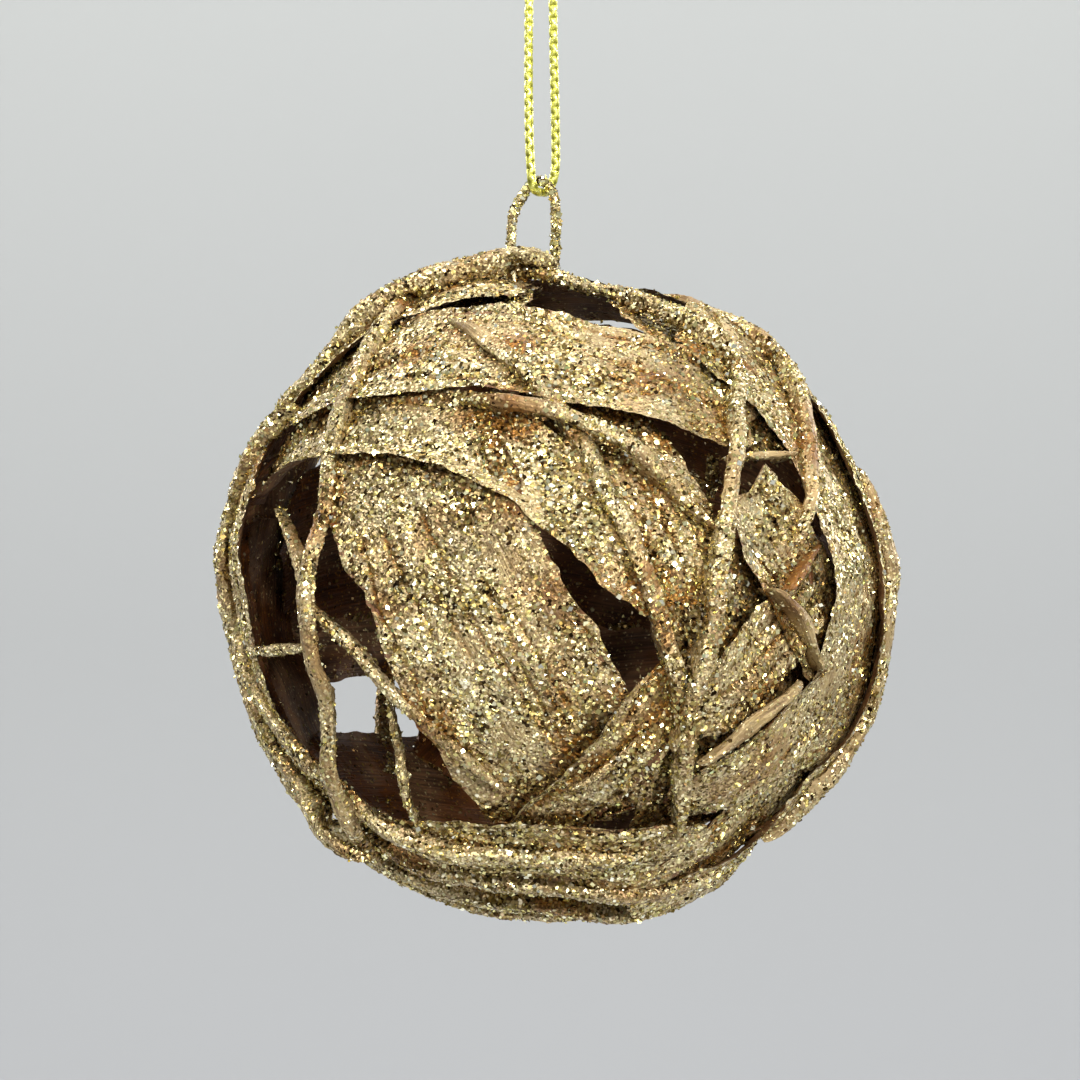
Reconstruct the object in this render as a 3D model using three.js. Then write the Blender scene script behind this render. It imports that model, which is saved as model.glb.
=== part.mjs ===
// A hollow hanging ball wound from strips of bark and strands of vine, with a wire eye on top and a
// cord loop through the eye. Millimetres, +Z up, the front faces -Y. The origin is the inside top of
// the cord loop, where a hook carries the ornament.

import * as THREE from 'three';

// The ball
const FORMER_RADIUS = 35.2; // the innermost strips lie on a round former, taken out afterwards
const LAY_GAP = 0.4; // clearance between a strip and the one it crosses
const BALL_ASIDE = 1.5; // the ball's centre stands this far to the right of the cord

// What the ball is wound from: thickness, and how far a piece bows per mm squared as it leaves a crossing
const LEAF = { thick: 0.4, bow: 0.03, shape: 'wide', color: 0x8f7d4e };
const BAND = { thick: 0.42, bow: 0.03, shape: 'flat', color: 0x94814f };
const STRAND = { thick: 1.15, bow: 0.03, shape: 'round', color: 0xa08a58 };
const TWIG = { thick: 0.8, bow: 0.03, shape: 'round', color: 0x8a7046 };

const GLITTER = { metalness: 0.5, roughness: 0.45 };

// Ends of strips and strands
const END_WIDTH = 0.35; // width of a cut end, as a share of the piece's own width
const END_LENGTH = 8; // each piece narrows towards its cut end over this length
const STATION_STEP = 8; // degrees of arc between two sections of a piece
const SAMPLE_STEP = 1; // degrees between the places where the height of a piece is worked out
const FEELERS = [-1, -0.67, -0.33, 0, 0.33, 0.67, 1]; // where across its half width a piece feels for others

// The wire eye
const WIRE_DIAMETER = 1.0;
const EYE_SPAN = 5.0; // between the centre lines of its legs
const EYE_STAND = 13.3; // centre line of its crown, above the former
const EYE_ASIDE = -2.5; // middle of the legs, from the ball's centre
const EYE_RISE = 7.8; // the arch above its straight legs
const EYE_STEPS = 26;
const WIRE_COLOR = 0x9a8046;
// The centre line of the arch from the left leg to the right: shares of the span and of the rise
const ARCH = [
  [-0.5, 0],
  [-0.5, 0.32],
  [-0.38, 0.62],
  [-0.02, 0.96],
  [0.24, 1],
  [0.47, 0.83],
  [0.54, 0.55],
  [0.54, 0.27],
  [0.5, 0],
];

// The cord loop
const CORD_DIAMETER = 1.0;
const CORD_STEPS = 44;
const KNOT_WIDTH = 3.6;
const KNOT_HEIGHT = 3.4;
const TUFT_WIDTH = 2.2; // the two cut ends that stand up out of the knot
const TUFT_HEIGHT = 3.0;
const CORD_GAP = 0.3; // clearance between the cord, the wire and the knot
const CORD_COLOR = 0xc9c04a;
// Its centre line: down on the left in front of the wire, under the eye's crown, up on the right behind
const CORD_ROUTE = [
  [-0.65, 0, 0],
  [-1.1, -0.1, -2],
  [-1.45, -0.3, -4.6],
  [-1.5, -0.6, -10],
  [-1.5, -1.0, -16],
  [-1.4, -1.35, -21.5],
  [-1.25, -1.45, -24.5],
  [-1.1, -1.45, -26.2],
  [-0.7, -1.05, -27.2],
  [-0.1, 0, -27.3],
  [0.55, 1.05, -27.2],
  [1.25, 1.5, -26.2],
  [1.65, 1.45, -24.5],
  [1.7, 1.35, -21.5],
  [1.6, 1.0, -16],
  [1.45, 0.6, -10],
  [1.35, 0.3, -4.6],
  [1.1, 0.1, -2],
  [0.65, 0, 0],
];

const ROUND_SIDES = 8;
const KNOT_SIDES = 10;
const DEGREE = Math.PI / 180;

// Every piece of the winding in the order it is laid, inner ones first. A row holds its name and kind,
// three bearings, its lead and tail, its width and its lift. It follows the circle on the ball through
// the bearings, each a longitude and a latitude in degrees with 0, 0 at the front, and runs on by lead
// and tail degrees beyond the first and the last. lift is how far it stands off the former where
// nothing lies under it.
const WINDING = [
  ['back_leaf_upper', LEAF, [112, 26], [165, 46], [-128, 36], 10, 14, 22, 0],
  ['back_leaf_middle', LEAF, [112, -6], [160, 8], [-128, 9], 10, 18, 21, 0],
  ['back_leaf_lower', LEAF, [112, -34], [155, -24], [-165, -36], 2, 12, 24, 0],
  ['back_leaf_bottom', LEAF, [-104, -42], [-145, -45], [165, -52], 4, 20, 18, 0],
  ['bottom_leaf', LEAF, [-75, -50], [-120, -80], [80, -66], 4, 8, 17, 0],
  ['left_back_leaf', LEAF, [-106, 52], [-108, 12], [-106, -34], 6, 14, 17, 0],
  ['right_back_leaf', LEAF, [98, 50], [101, 5], [96, -44], 8, 8, 19, 0],
  ['back_leaf_side', LEAF, [-112, -8], [-132, -7], [-155, -6], 4, 6, 13, 0.8],
  ['crown_leaf', LEAF, [-95, 58], [-178, 76], [92, 60], 4, 4, 16, 0],
  ['centre_leaf', LEAF, [-26, 18], [-16.5, 0], [-1.5, -29], 20, 20, 22.5, 0.6],
  ['right_inner_leaf', LEAF, [44, 10], [47, -14], [44, -45], 4, 4, 20, 0],
  ['upper_right_band', BAND, [47, 62], [50, 44], [52, 28], 10, 3, 13, 0.4],
  ['bottom_left_band', BAND, [-66, -38], [-48, -50], [-20, -60], 6, 6, 9, 0.6],
  ['bottom_front_band', BAND, [-52, -60], [5, -70], [56, -63], 6, 2, 12, 1.8],
  ['right_middle_band', BAND, [9, 32], [20, 17], [26, -2], 18, 25, 10.5, 0],
  ['lower_middle_band', BAND, [28, -10], [27, -33], [33, -58], 2, 10, 9.5, 0.8],
  ['fold_band', BAND, [-11, -49], [9, -33], [21, -15], 2, 6, 8.5, 0],
  ['right_leaf', BAND, [39, 17], [48, 3], [61, -12], 3, 6, 13, 1.2],
  ['lower_right_band_1', BAND, [27, -19], [40, -9], [50, -1], 6, 3, 9, 0.8],
  ['lower_right_band_2', BAND, [30, -36], [43, -26], [56, -18], 6, 4, 10, 1],
  ['lower_right_band_3', BAND, [38, -52], [53, -42], [67, -34], 4, 2, 10, 1.2],
  ['lower_right_band_4', BAND, [34, -63], [56, -56], [75, -45], 4, 2, 10, 1.2],
  ['bottom_band', BAND, [-26, -50], [5, -51.5], [34, -46], 12, 4, 11.5, 0.8],
  ['crown_band', BAND, [-30, 46], [-34, 60], [-44, 76], 4, 4, 12, 0.4],
  ['curved_band', BAND, [-76, 19.5], [-25, 30.5], [12, 8], 4, 14, 9.5, 0.9],
  ['upper_band', LEAF, [-80, 36], [-30, 47.5], [30, 38.5], 2, 16, 14.5, 0.5],
  ['shoulder_leaf', BAND, [-91, 14], [-82, 40], [-55, 67], 2, 14, 13, 0.8],
  ['left_rim_band', BAND, [-78, 24], [-79, -5], [-66, -45], 2, 6, 13, 1.8],
  ['right_limb_band', LEAF, [60, 44], [69, 8], [66, -19], 18, 3, 17, 1.2],
  ['right_rim_band', BAND, [77, 38], [85, 0], [77, -41], 6, 3, 13, 0.8],
  ['cross_twig', TWIG, [35, 24.5], [43, 24.5], [52, 24.5], 1, 1, 1.2, 0.6],
  ['side_twig', TWIG, [-71, -10], [-59, -10], [-50, -10], 2, 2, 1.2, 0.6],
  ['brown_twig', TWIG, [54, 8], [49, 5], [44, 1], 1, 1, 1.2, 1.8],
  ['lower_twig', TWIG, [-33, -20], [-33, -28], [-33, -42], 3, 3, 1.1, 0.6],
  ['fold_twig', TWIG, [3, -35], [10, -30], [16, -24], 0, 0, 0.9, 1],
  ['opening_strand', STRAND, [-63, 14], [-55, 7], [-51, 0], 4, 5, 1.6, 0.6],
  ['leaf_edge_strand', STRAND, [-47, -2], [-38, -10], [-17, -31], 4, 8, 1.5, 0.8],
  ['left_inner_strand', STRAND, [-80, -9], [-58, -33], [-4, -50], 3, 18, 1.8, 1.6],
  ['bottom_strand_1', STRAND, [-50, -52], [0, -60], [47, -55], 12, 4, 1.9, 1.6],
  ['bottom_strand_2', STRAND, [-60, -60], [-15, -72], [40, -69], 12, 4, 2.2, 3],
  ['diagonal_strand', STRAND, [-19, 49], [10, 17], [22, -18], 10, 26, 1.9, 1.6],
  ['fibre_strand', STRAND, [-13, 34], [9, 27.5], [29, 12], 6, 4, 1.7, 1.2],
  ['drop_strand', STRAND, [58, 52], [40, 33], [27, 0], 10, 26, 1.9, 1.8],
  ['tan_strand_1', STRAND, [40, 0], [45, -4], [52, -11], 2, 3, 1.8, 1.6],
  ['tan_strand_2', STRAND, [27, -27], [36, -21], [45, -15], 1, 1, 2, 1.6],
  ['crown_strand', STRAND, [-72, 75], [12, 76], [43, 54], 8, 12, 2, 1.6],
  ['right_strand', STRAND, [80, 56], [63, 33], [51, 14], 16, 6, 1.8, 2.2],
  ['long_left_strand', STRAND, [-57, 54], [-46, 4], [-49, -32], 14, 22, 2, 1.6],
  ['left_rim_strand', STRAND, [-84, 14], [-85, -17], [-58, -46], 24, 6, 3.2, 2.2],
  ['outer_left_strand', STRAND, [-93, -24], [-96, -52], [-112, -77], 4, 30, 2, 3.4],
  ['right_rim_strand', STRAND, [84, 14], [85, -12], [75, -47], 8, 2, 3, 1.6],
  ['top_rim_strand', STRAND, [14, 81], [-66, 57], [-82, 32], 6, 4, 3, 1.6],
  ['back_strand_1', STRAND, [125, 50], [150, 5], [175, -50], 15, 30, 2, 1],
  ['back_strand_2', STRAND, [110, 0], [165, 25], [-130, 15], 10, 24, 1.8, 1],
  ['back_strand_3', STRAND, [-160, 60], [-150, 0], [-120, -50], 25, 10, 1.9, 1],
  ['back_band', BAND, [120, 40], [175, 5], [-160, -40], 10, 25, 7, 0.8],
].map(([name, of, from, over, to, lead, tail, width, lift]) => (
  { name, of, way: [from, over, to], lead, tail, width, lift }
));

// A section is a row of points under the piece from left to right, then the row above it from right
// to left. Each point is a share of the half width and a share of the thickness.
const SECTIONS = {
  wide: [[-1, 0.1], [-0.5, 0], [0, 0], [0.5, 0], [1, 0.1], [1, 0.9], [0.5, 1], [0, 1], [-0.5, 1], [-1, 0.9]],
  flat: [[-1, 0.1], [0, 0], [1, 0.1], [1, 0.9], [0, 1], [-1, 0.9]],
  round: [[-1, 0.5], [-0.5, 0], [0.5, 0], [1, 0.5], [0.5, 1], [-0.5, 1]],
};

// The unit vector from the ball's centre towards a longitude and a latitude
function bearing([longitude, latitude]) {
  const level = Math.cos(latitude * DEGREE);
  return new THREE.Vector3(
    level * Math.sin(longitude * DEGREE),
    -level * Math.cos(longitude * DEGREE),
    Math.sin(latitude * DEGREE),
  );
}

// A circle on the unit ball through a piece's three bearings, as a function of an angle round it
function circleThrough(way) {
  const [from, over, to] = way.map(bearing);
  const normal = over.clone().sub(from).cross(to.clone().sub(from)).normalize();
  const centre = normal.clone().multiplyScalar(normal.dot(from));
  const xAxis = from.clone().sub(centre);
  const radius = xAxis.length();
  xAxis.divideScalar(radius);
  const yAxis = normal.clone().cross(xAxis);
  const last = to.clone().sub(centre);
  const turn = Math.atan2(last.dot(yAxis), last.dot(xAxis));
  return { centre, xAxis, yAxis, radius, span: turn > 0 ? turn : turn + 2 * Math.PI };
}

// The places along a piece, SAMPLE_STEP apart, each with the bearing of its middle, the direction
// across it, the length along it and half its width
function courseOf(piece) {
  const { centre, xAxis, yAxis, radius, span } = circleThrough(piece.way);
  const first = -piece.lead * DEGREE / radius;
  const last = span + piece.tail * DEGREE / radius;
  const arc = (last - first) * radius;
  const count = Math.ceil(arc / DEGREE / SAMPLE_STEP) + 1;
  const length = arc * (FORMER_RADIUS + piece.lift);
  const places = [];
  for (let i = 0; i < count; i += 1) {
    const angle = first + (last - first) * i / (count - 1);
    const out = centre.clone();
    out.addScaledVector(xAxis, radius * Math.cos(angle)).addScaledVector(yAxis, radius * Math.sin(angle));
    const along = yAxis.clone().multiplyScalar(Math.cos(angle)).addScaledVector(xAxis, -Math.sin(angle));
    const across = out.clone().cross(along).normalize();
    const reach = length * i / (count - 1);
    const near = Math.min(1, Math.min(reach, length - reach) / END_LENGTH);
    const share = END_WIDTH + (1 - END_WIDTH) * near * near * (3 - 2 * near);
    places.push({ out, across, reach, half: 0.5 * piece.width * share });
  }
  return places;
}

// The greatest height, above the ball's centre, of what is already laid under one bearing
function heightUnder(laid, bearingHere, margin) {
  let height = 0;
  for (const course of laid) {
    let nearest = null;
    let cosine = -1;
    for (const place of course.places) {
      const here = place.out.dot(bearingHere);
      if (here > cosine) {
        cosine = here;
        nearest = place;
      }
    }
    const offset = Math.acos(Math.min(1, cosine)) * nearest.top;
    if (offset < nearest.half + margin) {
      height = Math.max(height, nearest.top);
    }
  }
  return height;
}

// The height of a piece's underside at each place: it rests on its lift and on what it crosses, and
// bows down from there no faster than its stiffness lets it
function layOn(laid, piece, places) {
  const rest = places.map((place) => {
    let height = FORMER_RADIUS + piece.lift;
    for (const share of FEELERS) {
      const angle = share * (place.half + LAY_GAP) / FORMER_RADIUS;
      const here = place.out.clone().multiplyScalar(Math.cos(angle));
      here.addScaledVector(place.across, Math.sin(angle));
      height = Math.max(height, heightUnder(laid, here, LAY_GAP) + LAY_GAP);
    }
    return height;
  });
  places.forEach((place) => {
    place.low = Math.max(...rest.map((height, i) => {
      const away = places[i].reach - place.reach;
      return height - piece.of.bow * away * away;
    }));
    place.top = place.low + piece.of.thick;
  });
}

// A closed surface from equal rings of points: a skin round them and a cap of quads at each end
function skinOf(rings) {
  const sides = rings[0].length;
  const positions = rings.flat().flatMap((point) => point.toArray());
  const faces = [];
  const quad = (a, b, c, d) => faces.push(a, b, c, a, c, d);
  for (let ring = 0; ring < rings.length - 1; ring += 1) {
    for (let i = 0; i < sides; i += 1) {
      const here = ring * sides;
      const next = (i + 1) % sides;
      quad(here + i, here + next, here + sides + next, here + sides + i);
    }
  }
  const end = (rings.length - 1) * sides;
  for (let i = 0; i < sides / 2 - 1; i += 1) {
    const back = sides - 1 - i;
    quad(i, back, back - 1, i + 1);
    quad(end + i, end + i + 1, end + back - 1, end + back);
  }
  const geometry = new THREE.BufferGeometry();
  geometry.setAttribute('position', new THREE.Float32BufferAttribute(positions, 3));
  geometry.setIndex(faces);
  geometry.computeVertexNormals();
  return geometry;
}

// The solid of a laid piece, with a section at each station. A station stands as high as the piece
// does anywhere within half a step of it, so the straight stretches between stations stay clear.
function stripGeometry(piece, places) {
  const stations = Math.ceil((places.length - 1) * SAMPLE_STEP / STATION_STEP) + 1;
  const stride = (places.length - 1) / (stations - 1);
  const rings = [];
  for (let station = 0; station < stations; station += 1) {
    const middle = station * stride;
    const place = places[Math.round(middle)];
    const before = Math.max(0, Math.floor(middle - stride / 2));
    const window = places.slice(before, Math.ceil(middle + stride / 2) + 1);
    const low = Math.max(...window.map((nearby) => nearby.low));
    rings.push(SECTIONS[piece.of.shape].map(([share, level]) => {
      const angle = share * place.half / low;
      const point = place.out.clone().multiplyScalar(Math.cos(angle));
      point.addScaledVector(place.across, Math.sin(angle));
      return point.multiplyScalar(low + level * piece.of.thick);
    }));
  }
  return skinOf(rings);
}

// A round section for wire and cord
function roundShape(diameter) {
  const shape = new THREE.Shape();
  for (let i = 0; i < ROUND_SIDES; i += 1) {
    const angle = 2 * Math.PI * (i + 0.5) / ROUND_SIDES;
    const x = 0.5 * diameter * Math.cos(angle);
    const y = 0.5 * diameter * Math.sin(angle);
    if (i === 0) {
      shape.moveTo(x, y);
    } else {
      shape.lineTo(x, y);
    }
  }
  return shape;
}

function tubeGeometry(points, diameter, steps) {
  const path = new THREE.CatmullRomCurve3(points);
  return new THREE.ExtrudeGeometry(roundShape(diameter), { steps, extrudePath: path, bevelEnabled: false });
}

function material(name, color, metalness, roughness) {
  return new THREE.MeshStandardMaterial({ name, color, metalness, roughness });
}

function addPiece(parent, name, geometry, finish) {
  const mesh = new THREE.Mesh(geometry, finish);
  mesh.name = name;
  parent.add(mesh);
}

const ornament = new THREE.Group();
const ball = new THREE.Group();
const eyeTop = FORMER_RADIUS + EYE_STAND;
const loopBend = Math.min(...CORD_ROUTE.map(([, , z]) => z));
const crownAboveBend = 0.5 * CORD_DIAMETER + CORD_GAP + 0.5 * WIRE_DIAMETER;
ball.position.set(BALL_ASIDE, 0, loopBend + crownAboveBend - eyeTop);
ornament.add(ball);

// The winding
const laid = [];
for (const piece of WINDING) {
  const places = courseOf(piece);
  layOn(laid, piece, places);
  laid.push({ places });
  const finish = material('gold_glitter', piece.of.color, GLITTER.metalness, GLITTER.roughness);
  addPiece(ball, piece.name, stripGeometry(piece, places), finish);
}

// The wire eye: an arch that leans to the right, its legs standing on the outermost strips
function legFoot(x) {
  const upright = new THREE.Vector3(x, 0, eyeTop - EYE_RISE).normalize();
  const height = heightUnder(laid, upright, 0.5 * WIRE_DIAMETER + LAY_GAP) + LAY_GAP;
  return new THREE.Vector3(x, 0, Math.max(height, FORMER_RADIUS));
}
const archPoints = ARCH.map(([aside, up]) => (
  new THREE.Vector3(EYE_ASIDE + aside * EYE_SPAN, 0, eyeTop - EYE_RISE * (1 - up))
));
const eyeFinish = material('glitter_wire', WIRE_COLOR, GLITTER.metalness, GLITTER.roughness);
const eyePoints = [
  legFoot(archPoints[0].x),
  ...archPoints.slice(1, -1),
  legFoot(archPoints.at(-1).x),
];
addPiece(ball, 'wire_eye', tubeGeometry(eyePoints, WIRE_DIAMETER, EYE_STEPS), eyeFinish);

// The cord
const cordPoints = CORD_ROUTE.map((point) => new THREE.Vector3(...point));
const cordFinish = material('gold_cord', CORD_COLOR, 0.6, 0.35);
addPiece(ornament, 'hanging_cord', tubeGeometry(cordPoints, CORD_DIAMETER, CORD_STEPS), cordFinish);

// The overhand knot that closes the loop, with the tuft of its two cut ends
const knotProfile = [
  [0, 0],
  [0.33 * KNOT_WIDTH, 0.05 * KNOT_HEIGHT],
  [0.5 * KNOT_WIDTH, 0.35 * KNOT_HEIGHT],
  [0.5 * KNOT_WIDTH, 0.65 * KNOT_HEIGHT],
  [0.33 * KNOT_WIDTH, KNOT_HEIGHT],
  [0.5 * TUFT_WIDTH, KNOT_HEIGHT + TUFT_HEIGHT],
  [0, KNOT_HEIGHT + TUFT_HEIGHT],
].map(([radius, height]) => new THREE.Vector2(radius, height));
const knot = new THREE.LatheGeometry(knotProfile, KNOT_SIDES);
knot.rotateX(Math.PI / 2);
knot.translate(0, 0, CORD_GAP);
addPiece(ornament, 'cord_knot', knot, cordFinish);

export default ornament;
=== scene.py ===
"""A hollow hanging ball wound from bark strips and vine strands under gold glitter.

Metres, +Z up, the front faces -Y. The origin is the inside top of the cord loop, as in the frame. Shapes are
worked out in millimetres round the ball's centre and turned into metres where the meshes are made.
"""

import math

import bpy
import numpy as np
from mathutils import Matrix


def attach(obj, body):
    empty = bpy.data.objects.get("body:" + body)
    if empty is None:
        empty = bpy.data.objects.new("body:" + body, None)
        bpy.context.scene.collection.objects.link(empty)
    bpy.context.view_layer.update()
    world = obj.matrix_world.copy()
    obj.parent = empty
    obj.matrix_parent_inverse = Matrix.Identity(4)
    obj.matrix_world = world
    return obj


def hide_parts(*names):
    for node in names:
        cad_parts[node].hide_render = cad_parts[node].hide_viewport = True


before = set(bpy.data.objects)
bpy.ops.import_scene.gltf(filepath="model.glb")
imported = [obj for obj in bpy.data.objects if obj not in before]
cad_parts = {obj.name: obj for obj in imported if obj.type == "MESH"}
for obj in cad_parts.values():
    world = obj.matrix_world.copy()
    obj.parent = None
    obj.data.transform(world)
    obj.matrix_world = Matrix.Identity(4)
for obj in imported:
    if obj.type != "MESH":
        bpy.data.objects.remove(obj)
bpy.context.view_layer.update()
root = "root"
MM = 0.001
DEGREE = math.pi / 180

# The ball, as the solids have it
FORMER_RADIUS = 35.2
LAY_GAP = 0.4
EYE_TOP = 48.5
BALL_CENTRE = np.array([1.5, 0.0, -74.5])

# Thickness, and how far a piece bows per mm squared as it leaves a crossing
LEAF = {"thick": 0.4, "bow": 0.03, "wide": True}
BAND = {"thick": 0.42, "bow": 0.03, "wide": True}
STRAND = {"thick": 1.15, "bow": 0.03, "wide": False}
TWIG = {"thick": 0.8, "bow": 0.03, "wide": False}
END_WIDTH = 0.35
END_LENGTH = 8.0

# Name, kind, three bearings, lead, tail, width and lift, in the order the pieces are laid
WINDING = [
    ("back_leaf_upper", LEAF, (112, 26), (165, 46), (-128, 36), 10, 14, 22, 0),
    ("back_leaf_middle", LEAF, (112, -6), (160, 8), (-128, 9), 10, 18, 21, 0),
    ("back_leaf_lower", LEAF, (112, -34), (155, -24), (-165, -36), 2, 12, 24, 0),
    ("back_leaf_bottom", LEAF, (-104, -42), (-145, -45), (165, -52), 4, 20, 18, 0),
    ("bottom_leaf", LEAF, (-75, -50), (-120, -80), (80, -66), 4, 8, 17, 0),
    ("left_back_leaf", LEAF, (-106, 52), (-108, 12), (-106, -34), 6, 14, 17, 0),
    ("right_back_leaf", LEAF, (98, 50), (101, 5), (96, -44), 8, 8, 19, 0),
    ("back_leaf_side", LEAF, (-112, -8), (-132, -7), (-155, -6), 4, 6, 13, 0.8),
    ("crown_leaf", LEAF, (-95, 58), (-178, 76), (92, 60), 4, 4, 16, 0),
    ("centre_leaf", LEAF, (-26, 18), (-16.5, 0), (-1.5, -29), 20, 20, 22.5, 0.6),
    ("right_inner_leaf", LEAF, (44, 10), (47, -14), (44, -45), 4, 4, 20, 0),
    ("upper_right_band", BAND, (47, 62), (50, 44), (52, 28), 10, 3, 13, 0.4),
    ("bottom_left_band", BAND, (-66, -38), (-48, -50), (-20, -60), 6, 6, 9, 0.6),
    ("bottom_front_band", BAND, (-52, -60), (5, -70), (56, -63), 6, 2, 12, 1.8),
    ("right_middle_band", BAND, (9, 32), (20, 17), (26, -2), 18, 25, 10.5, 0),
    ("lower_middle_band", BAND, (28, -10), (27, -33), (33, -58), 2, 10, 9.5, 0.8),
    ("fold_band", BAND, (-11, -49), (9, -33), (21, -15), 2, 6, 8.5, 0),
    ("right_leaf", BAND, (39, 17), (48, 3), (61, -12), 3, 6, 13, 1.2),
    ("lower_right_band_1", BAND, (27, -19), (40, -9), (50, -1), 6, 3, 9, 0.8),
    ("lower_right_band_2", BAND, (30, -36), (43, -26), (56, -18), 6, 4, 10, 1),
    ("lower_right_band_3", BAND, (38, -52), (53, -42), (67, -34), 4, 2, 10, 1.2),
    ("lower_right_band_4", BAND, (34, -63), (56, -56), (75, -45), 4, 2, 10, 1.2),
    ("bottom_band", BAND, (-26, -50), (5, -51.5), (34, -46), 12, 4, 11.5, 0.8),
    ("crown_band", BAND, (-30, 46), (-34, 60), (-44, 76), 4, 4, 12, 0.4),
    ("curved_band", BAND, (-76, 19.5), (-25, 30.5), (12, 8), 4, 14, 9.5, 0.9),
    ("upper_band", LEAF, (-80, 36), (-30, 47.5), (30, 38.5), 2, 16, 14.5, 0.5),
    ("shoulder_leaf", BAND, (-91, 14), (-82, 40), (-55, 67), 2, 14, 13, 0.8),
    ("left_rim_band", BAND, (-78, 24), (-79, -5), (-66, -45), 2, 6, 13, 1.8),
    ("right_limb_band", LEAF, (60, 44), (69, 8), (66, -19), 18, 3, 17, 1.2),
    ("right_rim_band", BAND, (77, 38), (85, 0), (77, -41), 6, 3, 13, 0.8),
    ("cross_twig", TWIG, (35, 24.5), (43, 24.5), (52, 24.5), 1, 1, 1.2, 0.6),
    ("side_twig", TWIG, (-71, -10), (-59, -10), (-50, -10), 2, 2, 1.2, 0.6),
    ("brown_twig", TWIG, (54, 8), (49, 5), (44, 1), 1, 1, 1.2, 1.8),
    ("lower_twig", TWIG, (-33, -20), (-33, -28), (-33, -42), 3, 3, 1.1, 0.6),
    ("fold_twig", TWIG, (3, -35), (10, -30), (16, -24), 0, 0, 0.9, 1),
    ("opening_strand", STRAND, (-63, 14), (-55, 7), (-51, 0), 4, 5, 1.6, 0.6),
    ("leaf_edge_strand", STRAND, (-47, -2), (-38, -10), (-17, -31), 4, 8, 1.5, 0.8),
    ("left_inner_strand", STRAND, (-80, -9), (-58, -33), (-4, -50), 3, 18, 1.8, 1.6),
    ("bottom_strand_1", STRAND, (-50, -52), (0, -60), (47, -55), 12, 4, 1.9, 1.6),
    ("bottom_strand_2", STRAND, (-60, -60), (-15, -72), (40, -69), 12, 4, 2.2, 3),
    ("diagonal_strand", STRAND, (-19, 49), (10, 17), (22, -18), 10, 26, 1.9, 1.6),
    ("fibre_strand", STRAND, (-13, 34), (9, 27.5), (29, 12), 6, 4, 1.7, 1.2),
    ("drop_strand", STRAND, (58, 52), (40, 33), (27, 0), 10, 26, 1.9, 1.8),
    ("tan_strand_1", STRAND, (40, 0), (45, -4), (52, -11), 2, 3, 1.8, 1.6),
    ("tan_strand_2", STRAND, (27, -27), (36, -21), (45, -15), 1, 1, 2, 1.6),
    ("crown_strand", STRAND, (-72, 75), (12, 76), (43, 54), 8, 12, 2, 1.6),
    ("right_strand", STRAND, (80, 56), (63, 33), (51, 14), 16, 6, 1.8, 2.2),
    ("long_left_strand", STRAND, (-57, 54), (-46, 4), (-49, -32), 14, 22, 2, 1.6),
    ("left_rim_strand", STRAND, (-84, 14), (-85, -17), (-58, -46), 24, 6, 3.2, 2.2),
    ("outer_left_strand", STRAND, (-93, -24), (-96, -52), (-112, -77), 4, 30, 2, 3.4),
    ("right_rim_strand", STRAND, (84, 14), (85, -12), (75, -47), 8, 2, 3, 1.6),
    ("top_rim_strand", STRAND, (14, 81), (-66, 57), (-82, 32), 6, 4, 3, 1.6),
    ("back_strand_1", STRAND, (125, 50), (150, 5), (175, -50), 15, 30, 2, 1),
    ("back_strand_2", STRAND, (110, 0), (165, 25), (-130, 15), 10, 24, 1.8, 1),
    ("back_strand_3", STRAND, (-160, 60), (-150, 0), (-120, -50), 25, 10, 1.9, 1),
    ("back_band", BAND, (120, 40), (175, 5), (-160, -40), 10, 25, 7, 0.8),
]

# How far each piece's fibre shows through the glitter, from 0, all coated, to 1, bare
BARENESS = {
    "centre_leaf": 0.12,
    "upper_band": 0.14,
    "curved_band": 0.12,
    "right_limb_band": 0.12,
    "long_left_strand": 0.3,
    "tan_strand_1": 0.88,
    "tan_strand_2": 0.88,
    "right_strand": 0.35,
    "fibre_strand": 0.3,
    "diagonal_strand": 0.25,
    "drop_strand": 0.3,
    "opening_strand": 0.3,
    "leaf_edge_strand": 0.2,
    "cross_twig": 0.45,
    "brown_twig": 0.9,
    "right_rim_strand": 0.4,
}
USUAL_BARENESS = 0.08
# Pieces that are brown all over, and how brown
BROWNED = {"brown_twig": 1.0}

# How far the two edges of a strip turn up, or down below 0, in mm: the one on its right as it runs, then the
# one on its left
CURLED = {
    "curved_band": (1.9, 0.5),
    "upper_band": (0.9, 0.6),
    "centre_leaf": (0.8, 1.2),
    "right_leaf": (1.2, 0.8),
    "lower_right_band_1": (0.9, 1.0),
    "lower_right_band_2": (0.8, 1.3),
    "lower_right_band_3": (0.6, 1.5),
    "lower_right_band_4": (0.6, 1.2),
    "fold_band": (0.7, 1.2),
    "right_rim_band": (0.5, -2.2),
    "left_rim_band": (-2.2, 0.5),
    "shoulder_leaf": (0.5, -2.0),
}
USUAL_CURL = (0.5, 0.5)
# Strips that have spread wider than usual, by a factor, and how much of their narrowing the ragged ends lose
SPREAD = {"lower_right_band_3": 1.3, "lower_right_band_4": 1.25, "right_limb_band": 1.12, "bottom_band": 1.1}
END_SPREAD = 0.4
# Cut ends that run on a little further, down under the next strip, in mm
RUN_ON = {"right_rim_band": 9.0, "right_limb_band": 8.0, "lower_right_band_3": 4.0}

# How much of a strand's first end has broken off, in mm
BROKEN_OFF = {"top_rim_strand": 5.0}

# Cells of the surfaces, in mm: of the strips, of those at the back, and of the strands
BARK_CELL = 0.42
BACK_CELL = 0.6
STRAND_CELL = 0.34
# How far a point strays from its place in the grid, as a share of a cell
BARK_STRAY = 0.36
STRAND_STRAY = 0.3

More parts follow.
